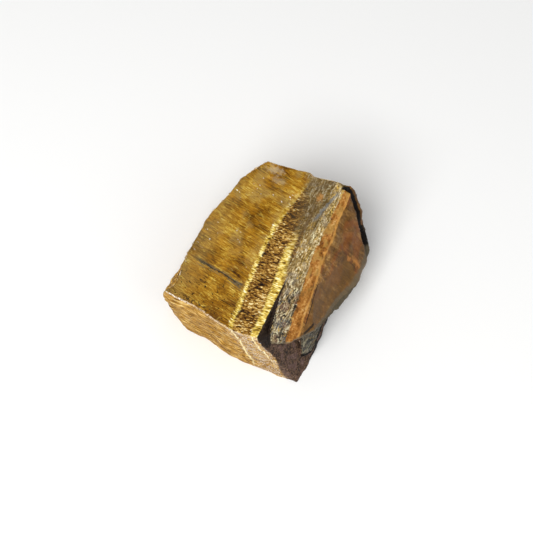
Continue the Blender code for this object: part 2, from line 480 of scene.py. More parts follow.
        bared = side > 0.0
        on_slab = (slab > block) & (slab >= remnant) & ~bared
        on_remnant = (remnant > block) & (remnant > slab) & ~bared

        def edge(kind: tuple[str, ...]) -> Array:
            """Distance past the edge of this kind of face, on whichever body each way leaves."""
            found = self.past_edge(reaches, Body.BLOCK, kind)
            found = np.where(on_slab, self.past_edge(reaches, Body.SLAB, kind), found)
            return np.where(on_remnant, self.past_edge(reaches, Body.REMNANT, kind), found)

        return Survey(
            reach=reach,
            top_edge=edge(("top",)),
            end_edge=edge(ENDS),
            skin_edge=edge(("skin",)),
            under_edge=np.where(on_slab, edge(UNDERSIDES), -EDGE_SPAN),
            iron_edge=np.where(on_slab | on_remnant, -EDGE_SPAN, edge(IRONSTONE)),
            crust_edge=edge(PAINTED_SHADE_FACES),
            slab_over=np.where(bared, -3.0, within(slab - np.maximum(block, remnant))),
            remnant_over=np.where(on_remnant, 1.0, -1.0),
            crack_depth=stepped - cracked,
            past_crack=np.where(open_crack > 0.0, within(past_crack), -EDGE_SPAN),
            ledge_across=within(across),
            ledge_run=run,
            fibre_ends=self.fibre_ends(reaches),
        )


@dataclass
class FineRelief:
    """Relief too fine for the stone's main form: heights of fibres, splinters, grains and pits."""

    seams: Seams = field(default_factory=Seams)
    silk: float = 0.09          # along the golden fibres
    fleck: float = 0.11         # on the brown flecked seam
    splinter: float = 0.26      # on the broken ends
    hackle: float = 0.30        # where the fibres end in a broken side
    grain: float = 0.30         # on the grey layer
    pitted: float = 0.12        # on the ironstone
    skin_flow: float = 0.12     # folds that run down the skin
    fold: Sizes = (5.0, 1.3, 2.0)
    fold_lean: float = 0.25
    grey_starts: Span = (13.3, 13.9)   # places across the seams between which each layer starts or ends
    grey_ends: Span = (17.0, 18.2)
    flecks_start: Span = (5.0, 5.6)
    flecks_end: Span = (9.2, 9.8)

    def fibres(self, points: Array, length: float, width: float, seed: int) -> Array:
        """Noise drawn out along the fibres: the lattice is length long and width wide."""
        return lattice_noise(self.seams.fibre_frame(points) / np.array([length, width, width]), 1.0, seed)

    def heights(self, points: Array, found: Survey) -> Array:
        """How far each point is raised by the relief of the face that it lies on.

        Args:
            points: Places on the stone's main form.
            found: What lies there.

        Returns:
            The height of the relief, from about -0.4 to 0.4.
        """
        place = self.seams.place(points)
        bent = self.seams.bent_place(points)
        top = ease(found.top_edge, -0.1, 0.6)
        grey = ease(place, *self.grey_starts) * (1.0 - ease(place, *self.grey_ends))
        skin = ease(found.skin_edge, -0.2, 0.4)
        iron = ease(found.iron_edge, -0.2, 0.4)
        flecked = ease(bent, *self.flecks_start) * (1.0 - ease(bent, *self.flecks_end))
        broken = (1.0 - top) * (1.0 - skin) * (1.0 - iron) * (1.0 - grey)
        silk = (self.fibres(points, 5.0, 0.9, Draw.SILK)
                + 0.6 * self.fibres(points, 2.2, 0.6, Draw.FINE_SILK))
        flecks = self.fibres(points, 1.6, 0.7, Draw.FLECKS)
        splinters = (self.fibres(points, 6.5, 1.1, Draw.SPLINTERS)
                     + 0.5 * self.fibres(points, 3.0, 0.65, Draw.FINE_SPLINTERS))
        hackles = (lattice_noise(points, 1.3, Draw.HACKLES)
                   + 0.5 * lattice_noise(points, 0.7, Draw.FINE_HACKLES))
        grains = (lattice_noise(points, 1.05, Draw.GRAINS)
                  + 0.6 * lattice_noise(points, 0.62, Draw.FINE_GRAINS))
        pits = lattice_noise(points, 0.9, Draw.PITS)
        height = top * (1.0 - grey) * (self.silk * silk + flecked * self.fleck * flecks)
        height += broken * (1.0 - found.fibre_ends) * self.splinter * splinters
        height += broken * found.fibre_ends * self.hackle * hackles
        height += (1.0 - skin) * grey * self.grain * grains
        height += iron * self.pitted * pits
        return height + skin * self.skin_flow * self.skin_noise(points)

    def skin_noise(self, points: Array) -> Array:
        """Folds on the skin: noise drawn out down the skin."""
        run = (points - HEART) @ self.seams.down()
        along = points[:, 1] - HEART[1] + self.fold_lean * run
        lie = np.stack([run, along, self.seams.place(points)], axis=1)
        return lattice_noise(lie / np.array(self.fold), 1.0, Draw.FOLDS)


@dataclass
class Cage:
    """Four corners on top and four below, between which the grid of ways is spread.

    The top and the four sides are bilinear patches, and rings that shrink to a point close the underside.
    """

    top: tuple[Sizes, ...] = (
        (-19.5, -22.0, 20.0), (15.5, -22.3, 24.5), (13.5, 20.5, 32.5), (-10.0, 21.5, 28.0))
    foot: tuple[Sizes, ...] = (
        (-19.0, -18.5, 0.0), (17.0, -20.0, 0.0), (15.0, 16.0, 0.0), (-13.0, 19.5, 0.0))
    steps: int = 150            # squares along each edge of the top
    rows: int = 104             # squares from the top's rim down to the foot
    rings: int = 12

    def rim(self, corners: Array) -> Array:
        """The points round four corners: on each edge, (1 - t) of one corner and t of the next."""
        share = (np.arange(self.steps) / self.steps)[:, None]
        return np.concatenate([(1.0 - share) * corners[k] + share * corners[(k + 1) % 4] for k in range(4)])

    def points(self) -> Array:
        """Every grid point: the rows of the sides, the rings below, the pole, and the inside of the top."""
        top, foot = np.array(self.top), np.array(self.foot)
        high, low = self.rim(top), self.rim(foot)
        down = (np.arange(self.rows + 1) / self.rows)[:, None, None]
        sides = (1.0 - down) * high + down * low
        pole = foot.mean(axis=0)
        inward = (np.arange(1, self.rings) / self.rings)[:, None, None]
        below = (1.0 - inward) * low + inward * pole
        share = np.arange(1, self.steps) / self.steps
        a, b = np.meshgrid(share, share, indexing="ij")
        a, b = a[..., None], b[..., None]
        inner = (1 - a) * (1 - b) * top[0] + a * (1 - b) * top[1] + a * b * top[2] + (1 - a) * b * top[3]
        return np.concatenate([sides.reshape(-1, 3), below.reshape(-1, 3), pole[None], inner.reshape(-1, 3)])

    def quads(self) -> Array:
        """Corner numbers of every square, turned to face outwards."""
        around = 4 * self.steps
        loops = self.rows + self.rings
        grid = np.arange(loops * around).reshape(loops, around)
        after = np.roll(grid, -1, axis=1)
        sides = np.stack([grid[:-1], grid[1:], after[1:], after[:-1]], axis=-1).reshape(-1, 4)
        n = self.steps
        patch = np.empty((n + 1, n + 1), np.int64)
        patch[1:n, 1:n] = loops * around + 1 + np.arange((n - 1) * (n - 1)).reshape(n - 1, n - 1)
        step = np.arange(n)
        patch[step, 0] = step
        patch[n, step] = n + step
        patch[n - step, n] = 2 * n + step
        patch[0, n - step] = 3 * n + step
        top = np.stack([patch[:-1, :-1], patch[1:, :-1], patch[1:, 1:], patch[:-1, 1:]], axis=-1)
        return np.concatenate([sides, top.reshape(-1, 4)])

    def fan(self) -> Array:
        """Corner numbers of the triangles that close the underside at its pole."""
        around = 4 * self.steps
        last = (self.rows + self.rings - 1) * around + np.arange(around)
        pole = np.full(around, (self.rows + self.rings) * around)
        return np.stack([last, pole, np.roll(last, -1)], axis=1)


class Socket:
    """A value in the node tree, so that maths on it is written as a Python expression."""

    def __init__(self, net: "Net", output: bpy.types.NodeSocket) -> None:
        """Keeps the tree and the socket that the value comes out of."""
        self.net = net
        self.output = output

    def __add__(self, other: Term) -> "Socket":
        """This value plus the other."""
        return self.net.maths("ADD", self, other)

    __radd__ = __add__

    def __sub__(self, other: Term) -> "Socket":
        """This value less the other."""
        return self.net.maths("SUBTRACT", self, other)

    def __rsub__(self, other: Term) -> "Socket":
        """The other value less this one."""
        return self.net.maths("SUBTRACT", other, self)

    def __mul__(self, other: Term) -> "Socket":
        """This value times the other."""
        return self.net.maths("MULTIPLY", self, other)

    __rmul__ = __mul__

    def __abs__(self) -> "Socket":
        """This value without its sign."""
        return self.net.maths("ABSOLUTE", self)

    def least(self, other: Term) -> "Socket":
        """The smaller of this value and the other."""
        return self.net.maths("MINIMUM", self, other)

    def most(self, other: Term) -> "Socket":
        """The larger of this value and the other."""
        return self.net.maths("MAXIMUM", self, other)


def pigment(code: str) -> tuple[float, float, float, float]:
    """A colour as a screen shows it, such as #A5751F, as the linear colour that a shader takes."""
    shown = np.array([int(code[k:k + 2], 16) / 255.0 for k in (1, 3, 5)])
    linear = np.where(shown <= 0.04045, shown / 12.92, ((shown + 0.055) / 1.055) ** 2.4)
    return (*map(float, linear), 1.0)


class Net:
    """Adds nodes to one material."""

    def __init__(self, name: str) -> None:
        """Makes the material, with its shader and nothing else."""
        self.material = bpy.data.materials.new(name)
        self.material.use_nodes = True
        self.tree = self.material.node_tree
        self.shader = self.tree.nodes["Principled BSDF"]

    def node(self, kind: str, settings: dict[str, Any], inputs: dict[Any, Term], output: Any = 0) -> Socket:
        """Adds one node.

        Args:
            kind: Blender's name for the type of node.
            settings: What is set on the node first. The stops of a ramp are (place, colour) pairs.
            inputs: The value or link of each socket, by its name or number.
            output: Name or number of the socket that is returned.

        Returns:
            The socket that the node's value comes out of.
        """
        made = self.tree.nodes.new(kind)
        for name, value in settings.items():
            if name == "stops":
                self.set_stops(made.color_ramp, value)
            else:
                setattr(made, name, value)
        for name, value in inputs.items():
            self.feed(made.inputs[name], value)
        return Socket(self, made.outputs[output])

    @staticmethod
    def set_stops(ramp: bpy.types.ColorRamp, stops: Stops) -> None:
        """Gives a ramp its stops, from the lowest place to the highest."""
        while len(ramp.elements) < len(stops):
            ramp.elements.new(0.5)
        for element, (place, code) in zip(ramp.elements, stops):
            element.position = place
            element.color = pigment(code)

    def feed(self, socket: bpy.types.NodeSocket, value: Term) -> None:
        """Links a socket, or sets its own value. A text is a colour."""
        if isinstance(value, Socket):
            self.tree.links.new(value.output, socket)
        elif isinstance(value, str):
            socket.default_value = pigment(value)
        else:
            socket.default_value = value

    def maths(self, operation: str, *values: Term) -> Socket:
        """One sum on numbers."""
        return self.node("ShaderNodeMath", {"operation": operation}, dict(enumerate(values)))

    def vectors(self, operation: str, first: Term, second: Term, output: int = 0) -> Socket:
        """One sum on vectors."""
        return self.node("ShaderNodeVectorMath", {"operation": operation}, {0: first, 1: second}, output)

    def rise(self, value: Socket, start: float, end: float) -> Socket:
        """Rises smoothly from 0 at start to 1 at end; it falls where end lies below start."""
        low, high = min(start, end), max(start, end)
        ends = {"To Min": 0.0, "To Max": 1.0} if start < end else {"To Min": 1.0, "To Max": 0.0}
        return self.node("ShaderNodeMapRange", {"interpolation_type": "SMOOTHSTEP"},
                         {"Value": value, "From Min": low, "From Max": high} | ends)

    def between(self, value: Socket, start: float, end: float, soft: float) -> Socket:
        """1 from start to end and 0 outside, over a soft edge."""
        return self.rise(value, start - soft, start + soft) * self.rise(value, end + soft, end - soft)

    def mix(self, share: Term, first: Term, second: Term) -> Socket:
        """Two colours mixed by a share."""
        return self.node("ShaderNodeMix", {"data_type": "RGBA"}, {0: share, 6: first, 7: second}, 2)

    def blend(self, share: Term, first: Term, second: Term) -> Socket:
        """Two numbers mixed by a share."""
        return self.node("ShaderNodeMix", {"data_type": "FLOAT"}, {0: share, 2: first, 3: second})

    def ramp(self, value: Socket, *stops: tuple[float, str]) -> Socket:
        """A colour read from a ramp."""
        return self.node("ShaderNodeValToRGB", {"stops": stops}, {"Fac": value})

    def noise(self, place: Socket, scale: float = 1.0, detail: float = 2.0, rough: float = 0.5,
              twist: float = 0.0) -> Socket:
        """Smooth noise from 0 to 1, whose features are about 1 / scale across."""
        return self.node("ShaderNodeTexNoise", {}, {"Vector": place, "Scale": scale, "Detail": detail,
                                                    "Roughness": rough, "Distortion": twist})

    def stretched(self, place: Socket, sizes: Sizes) -> Socket:
        """A place whose parts are divided by these sizes."""
        return self.vectors("MULTIPLY", place, tuple(1.0 / size for size in sizes))

    def drawn(self, place: Socket, sizes: Sizes, detail: float = 2.0, rough: float = 0.5,
              twist: float = 0.0) -> Socket:
        """Smooth noise from 0 to 1, whose features are drawn out to about these sizes."""
        return self.noise(self.stretched(place, sizes), 1.0, detail, rough, twist)

    def strands(self, place: Socket, sizes: Sizes, width: float) -> Socket:
        """Thin wavy lines: where noise drawn out to these sizes is within the width of its middle value.

        Args:
            place: Where the noise is read.
            sizes: How far it is drawn out each way.
            width: How far from its middle value the lines end.

        Returns:
            1 on the lines and 0 between them.
        """
        return self.rise(abs(self.drawn(place, sizes, 0.0) - 0.5), width, 0.0)

    def layer(self, name: str) -> Socket:
        """One of the numbers that the survey found for each point of the mesh."""
        return self.node("ShaderNodeAttribute", {"attribute_type": "GEOMETRY", "attribute_name": name},
                         {}, "Fac")


@dataclass(frozen=True)
class Place:
    """Where a point of the surface lies, as sockets in millimetres from the heart."""

    point: Socket
    across: Socket
    bent: Socket
    right: Socket
    along: Socket
    up: Socket
    fibres: Socket

    @classmethod
    def read(cls, net: Net, seams: Seams) -> "Place":
        """Works the places out from the object's own coordinates, by the formulas of the seams."""
        objects = net.node("ShaderNodeTexCoord", {}, {}, "Object")
        point = net.node("ShaderNodeMapping", {"vector_type": "POINT"},
                         {"Vector": objects, "Location": tuple(-HEART), "Scale": (1.0 / MM,) * 3})
        parts = [net.node("ShaderNodeSeparateXYZ", {}, {"Vector": point}, axis) for axis in "XYZ"]
        across = net.vectors("DOT_PRODUCT", point, tuple(seams.face.normal()), 1)
        bow = parts[1] * (seams.lean + parts[1] * (seams.bow + seams.turn * parts[1]))
        bent = across - bow * net.rise(across, seams.bow_fades[1], seams.bow_fades[0])
        run, level, rise = (net.vectors("DOT_PRODUCT", point, tuple(axis), 1) for axis in seams.fibre_axes())
        kinked = level - seams.kink * (bent - seams.kink_place).most(0.0)
        fibres = net.node("ShaderNodeCombineXYZ", {}, {"X": run, "Y": kinked, "Z": rise})
        return cls(point, across, bent, *parts, fibres)


@dataclass(frozen=True)
class Coat:
    """One finish of the stone: its colour, roughness and fine height in millimetres."""

    colour: Socket
    roughness: Term
    height: Term

    def tinted(self, share: Term, colour: str) -> "Coat":
        """This coat with a colour mixed in, by a share from 0 to 1."""
        return replace(self, colour=self.colour.net.mix(share, self.colour, colour))

    def under(self, other: "Coat", share: Socket) -> "Coat":
        """This coat with another laid on it, by a share from 0 to 1."""
        net = share.net
        return Coat(net.mix(share, self.colour, other.colour),
                    net.blend(share, self.roughness, other.roughness),
                    net.blend(share, self.height, other.height))


@dataclass(frozen=True)
class GoldenFibres:
    """Silky golden fibres that cross the main seam."""

    long: Sizes = (5.0, 0.36, 1.2)
    short: Sizes = (1.3, 0.26, 0.6)
    cloud: Sizes = (6.0, 4.5, 6.0)
    spark: Sizes = (0.8, 0.5, 0.7)
    patch: Sizes = (5.0, 7.0, 6.0)
    glow: Sizes = (4.0, 3.0, 4.0)
    hairs: Sizes = (5.0, 0.8, 2.0)
    dark_hairs: Sizes = (3.6, 0.9, 1.7)
    stops: Stops = ((0.26, "#371E00"), (0.37, "#704803"), (0.50, "#94660D"), (0.62, "#B08324"),
                    (0.73, "#D0AE48"), (0.84, "#F8EA9A"))
    haze: str = "#9C8148"
    amber: str = "#6A4000"
    warm: str = "#B27A12"
    olive: str = "#3E3822"
    hair: str = "#CDAF4C"
    dark_hair: str = "#3A2202"
    # colour of the painted glints
    glint: str = "#FFF8E8"
    speck: str = "#160D04"

    def coat(self, net: Net, at: Place) -> Coat:
        """Streaks and single hairs along the fibres over clouds of amber and haze, with painted glints and
        specks.
        """
        long = net.drawn(at.fibres, self.long, 2.0, 0.65)
        short = net.drawn(at.fibres, self.short, 2.0, 0.7)
        cloud = net.drawn(at.fibres, self.cloud)
        tone = 0.60 * long + 0.65 * short + 0.85 * cloud - 0.55
        colour = net.ramp(tone, *self.stops)
        patch = net.drawn(at.point, self.patch)
        hazy = net.rise(patch, 0.46, 0.62) * net.rise(at.along, -12.0, 0.0)
        hazy = hazy.most(net.rise(at.across, -4.0, -12.0) * 0.9) * (0.25 + 0.6 * short)
        colour = net.mix(hazy, colour, self.haze)
        glow = net.drawn(at.fibres, self.glow, 1.0)
        colour = net.mix(net.rise(glow, 0.52, 0.66) * 0.32, colour, self.warm)
        deep = (net.rise(patch, 0.50, 0.36) * 0.4).most(net.rise(at.along, -12.0, -22.0) * 0.4)
        colour = net.mix(deep * net.rise(short, 0.75, 0.35), colour, self.amber)
        olive = net.rise(at.across, -11.5, -15.8) * (0.30 + 0.7 * short)
        colour = net.mix(olive, colour, self.olive)
        colour = net.mix(net.strands(at.fibres, self.hairs, 0.030) * 0.45, colour, self.hair)
        colour = net.mix(net.strands(at.fibres, self.dark_hairs, 0.028) * 0.40, colour, self.dark_hair)
        spark = net.drawn(at.fibres, self.spark, 1.0)
        # painted highlight: a few bright glints of light on the fibres, in patches
        glint = net.rise(spark, 0.70, 0.74) * net.rise(patch, 0.54, 0.60)
        colour = net.mix(glint * net.rise(at.along, -16.0, 2.0), colour, self.glint)
        speck = net.rise(spark, 0.35, 0.29) * net.rise(at.along, -10.0, -18.0)
        colour = net.mix(speck, colour, self.speck)
        return Coat(colour, 0.60 - 0.3 * long, 0.12 * long + 0.10 * short)


@dataclass(frozen=True)
class BrightSeam:
    """A bright silky seam, nicked across by dark fibres."""

    grain: Sizes = (1.8, 0.28, 1.0)
    glow: Sizes = (1.2, 0.9, 1.2)
    stops: Stops = ((0.30, "#4A3008"), (0.38, "#93701C"), (0.47, "#CCA83C"), (0.56, "#EACF6C"),
                    (0.67, "#FFF3AE"), (0.80, "#FFFFF0"))

    def coat(self, net: Net, at: Place) -> Coat:
        """Short fibres square to the seam, a few of them dark."""
        grain = net.drawn(at.fibres, self.grain, 2.0, 0.7)
        glow = net.drawn(at.fibres, self.glow, 1.0)
        colour = net.ramp(1.0 * grain + 0.6 * glow - 0.30, *self.stops)
        return Coat(colour, 0.40, 0.14 * grain)


@dataclass(frozen=True)
class FleckedSeam:
    """The brown seam between the bright ones, full of short wavy flecks."""

    wavy: Sizes = (0.95, 0.33, 0.7)
    veil: Sizes = (5.0, 3.0, 5.0)
    stops: Stops = ((0.30, "#0D0500"), (0.40, "#3A2104"), (0.50, "#764D12"), (0.58, "#9D7229"),
                    (0.68, "#D6AD5A"), (0.80, "#FFF6C4"))
    dust: str = "#5A4629"

    def coat(self, net: Net, at: Place) -> Coat:
        """Flecks about a millimetre long, from dark brown to cream, that turn dusty towards the back."""
        wavy = net.drawn(at.fibres, self.wavy, 2.0, 0.65, 0.5)
        veil = net.drawn(at.fibres, self.veil, 1.0)
        colour = net.ramp(1.2 * wavy + 0.4 * veil - 0.29, *self.stops)
        dusty = net.rise(at.along, 0.0, 12.0) * net.rise(at.across, 5.0, 9.0) * 0.6
        colour = net.mix(dusty, colour, self.dust)
        return Coat(colour, 0.55, 0.20 * wavy)


@dataclass(frozen=True)
class GreyLayer:
    """The grained grey layer of the slab, with dark pits, pale crystals and golden veins along the seam."""

    drawn: Sizes = (0.42, 2.8, 0.6)
    shade: Sizes = (2.0, 4.5, 2.0)
    veins: Sizes = (1.3, 8.0, 2.4)
    crystals: Sizes = (1.6, 6.0, 2.0)
    stops: Stops = ((0.30, "#120C06"), (0.40, "#4E3F2A"), (0.49, "#8C7552"), (0.56, "#AC9468"),
                    (0.66, "#DCCAA0"), (0.78, "#FFFCEC"))
    gold: str = "#CFA850"
    cream: str = "#F0E4B8"
    cold: str = "#868888"
    ruddy: str = "#7E5A46"
    dark: str = "#3E382E"
    pit: str = "#15110D"

    def coat(self, net: Net, at: Place) -> Coat:
        """Grains under a millimetre across, drawn out along the seam."""
        grains = net.noise(at.point, 1.9, 2.0, 0.65)
        drawn = net.drawn(at.point, self.drawn, 2.0, 0.65, 0.5)
        colour = net.ramp(0.65 * grains + 1.15 * drawn - 0.39, *self.stops)
        cold = net.rise(net.noise(at.point, 0.42, 1.0), 0.50, 0.62) * 0.40
        colour = net.mix(cold, colour, self.cold)
        dark = net.rise(net.drawn(at.point, self.shade), 0.48, 0.62) * 0.55
        colour = net.mix(dark, colour, self.dark)
        ruddy = net.rise(net.noise(at.point, 0.6, 1.0), 0.54, 0.64) * net.rise(at.along, -4.0, -12.0) * 0.5
        colour = net.mix(ruddy, colour, self.ruddy)
        pit = net.rise(net.noise(at.point, 0.75, 2.0, 0.6), 0.43, 0.35)
        colour = net.mix(pit * 0.85, colour, self.pit)
        broken = net.rise(grains, 0.40, 0.55)
        veins = net.strands(at.point, self.veins, 0.045) * broken
        colour = net.mix(veins.most(net.rise(at.along, -14.0, -2.0) * 0.25), colour, self.gold)
        colour = net.mix(net.strands(at.point, self.crystals, 0.03) * broken, colour, self.cream)
        return Coat(colour, 0.5, 0.40 * grains)


@dataclass(frozen=True)
class OrangeStrip:
    """The rusty strip between the grey layer and the skin."""

    drawn: Sizes = (1.2, 3.6, 1.4)
    blobs: Sizes = (1.5, 2.6, 1.5)
    stops: Stops = ((0.30, "#522E0C"), (0.42, "#83521C"), (0.52, "#A26A2C"), (0.62, "#BC8A48"),
                    (0.76, "#E8C88C"))
    gold: str = "#B08A46"

    def coat(self, net: Net, at: Place) -> Coat:
        """Rust that runs along the strip, mottled with paler grains."""
        drawn = net.drawn(at.point, self.drawn, 2.0, 0.6)
        grains = net.noise(at.point, 1.9, 2.0, 0.6)
        colour = net.ramp(0.75 * drawn + 0.50 * grains - 0.12, *self.stops)
        blobs = net.rise(net.drawn(at.point, self.blobs, 1.0), 0.50, 0.62) * 0.55
        colour = net.mix(blobs * net.rise(at.along, -12.0, -4.0), colour, self.gold)
        return Coat(colour, 0.5, 0.12 * grains)


@dataclass(frozen=True)
class WaxySkin:
    """The waxy brown skin on the right, with folds that run down it."""

    fold: Sizes = (4.0, 0.8, 2.0)
    fold_lean: float = 0.25
    stops: Stops = ((0.30, "#2C1A08"), (0.41, "#5C3C14"), (0.51, "#805620"), (0.61, "#A07438"),
                    (0.74, "#CCA262"))
    rust: str = "#94481A"
    olive: str = "#5A3E16"

    def coat(self, net: Net, at: Place, down: Array) -> Coat:
        """Streaks down the skin over broad patches of brown and rust."""
        run = net.vectors("DOT_PRODUCT", at.point, tuple(down), 1)
        along = at.along + self.fold_lean * run
        lie = net.node("ShaderNodeCombineXYZ", {}, {"X": run, "Y": along, "Z": at.across})
        folds = net.drawn(lie, self.fold, 2.0, 0.6, 0.6)
        patch = net.noise(at.point, 0.24)
        fine = net.noise(at.point, 2.0, 2.0, 0.6)
        colour = net.ramp(0.6 * folds + 0.55 * patch + 0.35 * fine - 0.25, *self.stops)
        colour = net.mix(net.rise(at.along, -2.0, 8.0) * 0.45, colour, self.olive)
        rust = net.rise(net.noise(at.point, 0.2, 1.0), 0.5, 0.62) * 0.32
        colour = net.mix(rust, colour, self.rust)
        return Coat(colour, 0.42 + 0.15 * fine, 0.18 * folds + 0.06 * fine)


@dataclass(frozen=True)
class Ironstone:
    """The dark fine-grained ironstone that is bared beside the seam."""

    drift: Sizes = (5.0, 1.6, 2.4)
    stops: Stops = ((0.30, "#1E1511"), (0.42, "#463427"), (0.51, "#624A38"), (0.60, "#806450"),
                    (0.74, "#B29A82"))
    plum: str = "#5A4444"
    # colour of the painted shade high in the notch beside the slab
    shade: str = "#0F0B08"

    def coat(self, net: Net, at: Place) -> Coat:
        """Fine specks over faint drifts, some of them plum, darkened with painted shade as they rise into the
        notch.
        """
        specks = net.noise(at.point, 2.0, 3.0, 0.65)
        drift = net.drawn(at.point, self.drift)
        colour = net.ramp(0.9 * specks + 0.45 * drift - 0.20, *self.stops)
        colour = net.mix(net.rise(drift, 0.48, 0.62) * 0.6, colour, self.plum)
        # painted shade: the ironstone turns nearly black as it rises into the notch, where shadow falls
        colour = net.mix(net.rise(at.up, 3.5, 6.0) * (0.55 + 0.5 * drift), colour, self.shade)
        return Coat(colour, 0.62, 0.16 * specks)


@dataclass(frozen=True)
class DarkPaintedShade:
    """Nearly black painted shade on the faces that look down and back on the right, where their deep shadow
    falls.
    """

    stops: Stops = ((0.38, "#030202"), (0.52, "#0C0907"), (0.62, "#241C16"), (0.74, "#6E6252"))

    def coat(self, net: Net, at: Place) -> Coat:
        """Black brown painted shade, with a few grey grains."""
        grains = net.noise(at.point, 1.1, 3.0, 0.65)
        return Coat(net.ramp(grains, *self.stops), 0.7, 0.22 * grains)


@dataclass(frozen=True)
class SplinteredEnd:
    """The broken ends of the fibres' bundles, paler and rougher than the golden face."""

    long: Sizes = (7.0, 0.9, 0.5)
    short: Sizes = (2.0, 0.45, 0.27)
    stops: Stops = ((0.28, "#402404"), (0.40, "#805814"), (0.50, "#B08030"), (0.60, "#CEA250"),
                    (0.74, "#F8E09C"))
    splinters: Sizes = (8.0, 2.4, 1.1)
    splinter: str = "#70501A"
    stripe: str = "#FAECB4"
    blush: str = "#B8A48E"
    fuzz: str = "#DCC8AC"
    white: str = "#FFFBF0"

    def coat(self, net: Net, at: Place, edge: Socket) -> Coat:
        """Splinters that sweep round in a slow curve, with two pale stripes and a fuzz under the top edge."""
        sway = net.noise(at.point, 0.12, 1.0) - 0.5
        swept = net.vectors("ADD", at.fibres, net.node("ShaderNodeCombineXYZ", {}, {
            "Y": 2.5 * sway, "Z": 3.5 * sway - 0.014 * at.up * at.up}))
        long = net.drawn(swept, self.long, 2.0, 0.6)
        short = net.drawn(swept, self.short, 2.0, 0.6)
        colour = net.ramp(0.85 * long + 0.75 * short - 0.30, *self.stops)
        colour = net.mix(net.strands(swept, self.splinters, 0.03) * 0.6, colour, self.splinter)
        mottled = net.noise(at.point, 1.6, 2.0, 0.6)
        blush = net.rise(mottled, 0.44, 0.64) * net.rise(at.across, 2.0, 6.0) * 0.75
        colour = net.mix(blush, colour, self.blush)
        bend = 0.14 * (4.5 - at.up)
        wisps = 1.2 * (short - 0.5)
        first = net.between(at.bent + bend + wisps, 4.1, 4.6, 0.12) * net.rise(at.up, -15.0, -6.0)
        second = net.between(at.bent + 0.4 * bend + wisps, 10.9, 11.4, 0.12) * net.rise(at.up, -10.0, 0.0)
        colour = net.mix(first.most(second) * 0.85, colour, self.stripe)
        crumbs = net.noise(at.point, 3.2, 2.0, 0.6)
        loose = net.rise(crumbs, 0.56, 0.66) * net.rise(at.across, 1.0, 6.0)
        colour = net.mix(loose * 0.7, colour, self.white)
        fuzzy = net.rise(edge, -1.9, -0.2) * net.rise(crumbs, 0.42, 0.58) * 0.85
        colour = net.mix(fuzzy, colour, self.fuzz)
        white = net.rise(edge, -1.7, -0.6) * net.rise(at.across, -5.0, -12.0)
        colour = net.mix(white * net.rise(crumbs, 0.44, 0.52), colour, self.white)
        return Coat(colour, 0.55, 0.24 * long + 0.16 * short)


@dataclass(frozen=True)
class Stain:
    """A frayed spot of colour, with its middle in millimetres from the heart."""

    centre: Sizes
    sizes: Sizes                # half its length along X, Y and Z
    share: float
    colour: str


@dataclass(frozen=True)
class Hairline:
    """A thin line on a face, between two places in millimetres from the heart."""

    start: Sizes
    end: Sizes
    face: Face
    width: float                # half its width


@dataclass(frozen=True)
class Marks:
    """The stone's own spots and lines, with the colours of its stains, edges and cracks, and of the painted
    shade, shadow and highlights.
    """

    frost: tuple[Stain, ...] = (
        Stain((-8.6, 18.2, 17.4), (2.8, 1.4, 2.0), 0.42, "#CABC9C"),
        Stain((-6.5, 15.8, 17.0), (2.4, 1.0, 2.0), 0.32, "#BFAE8A"),
        Stain((5.9, 15.7, 18.1), (0.9, 1.6, 1.5), 0.70, "#C48A48"))
    weathered: Stain = Stain((-20.5, -8.0, 8.0), (3.2, 4.2, 4.0), 0.55, "#4A3C20")
    rusty: tuple[Stain, ...] = (
        Stain((20.2, 10.2, 2.6), (2.0, 1.0, 3.6), 0.6, "#C4803A"),
        Stain((18.2, 8.6, 6.0), (1.4, 0.8, 1.6), 0.6, "#C4803A"))
    skin_line: Hairline = Hairline((15.6, -4.5, 12.4), (17.1, -15.1, 9.4), Face(0.5, 25.0), 0.26)
    top_line: Hairline = Hairline((-6.3, -18.4, 8.0), (-1.9, -18.9, 8.6), Face(-116.0, 76.0), 0.14)
    slot: Hairline = Hairline((17.5, -17.2, 8.1), (18.5, -12.8, 6.9), Face(0.5, 25.0), 0.55)
    dash: str = "#D8D0BC"
    dot: str = "#1E140A"
    brown_strip: str = "#584226"
    blue_streak: str = "#6F7476"
    # painted highlight along the ridge over the skin
    ridge_highlight: str = "#D59A4C"
    # painted shade in the hollow scooped out of the skin
    scoop_shade: str = "#6C4C20"
    line: str = "#140B05"
    rim: str = "#4E3418"
    # painted shadow inside the crack
    crack: str = "#0B0705"
    # painted shadow just outside the slab's lower front edge
    slab_shadow: str = "#060403"
    foot: str = "#665C48"
    ledge_shade: str = "#4C5248"
    # painted shadow line at the ledge's step
    ledge_shadow_line: str = "#20241F"
    cold_shade: str = "#34393A"
    dull_back: str = "#38260A"
    scoop_corner: Span = (5.7, 12.3)    # its point, in front of the heart and above it


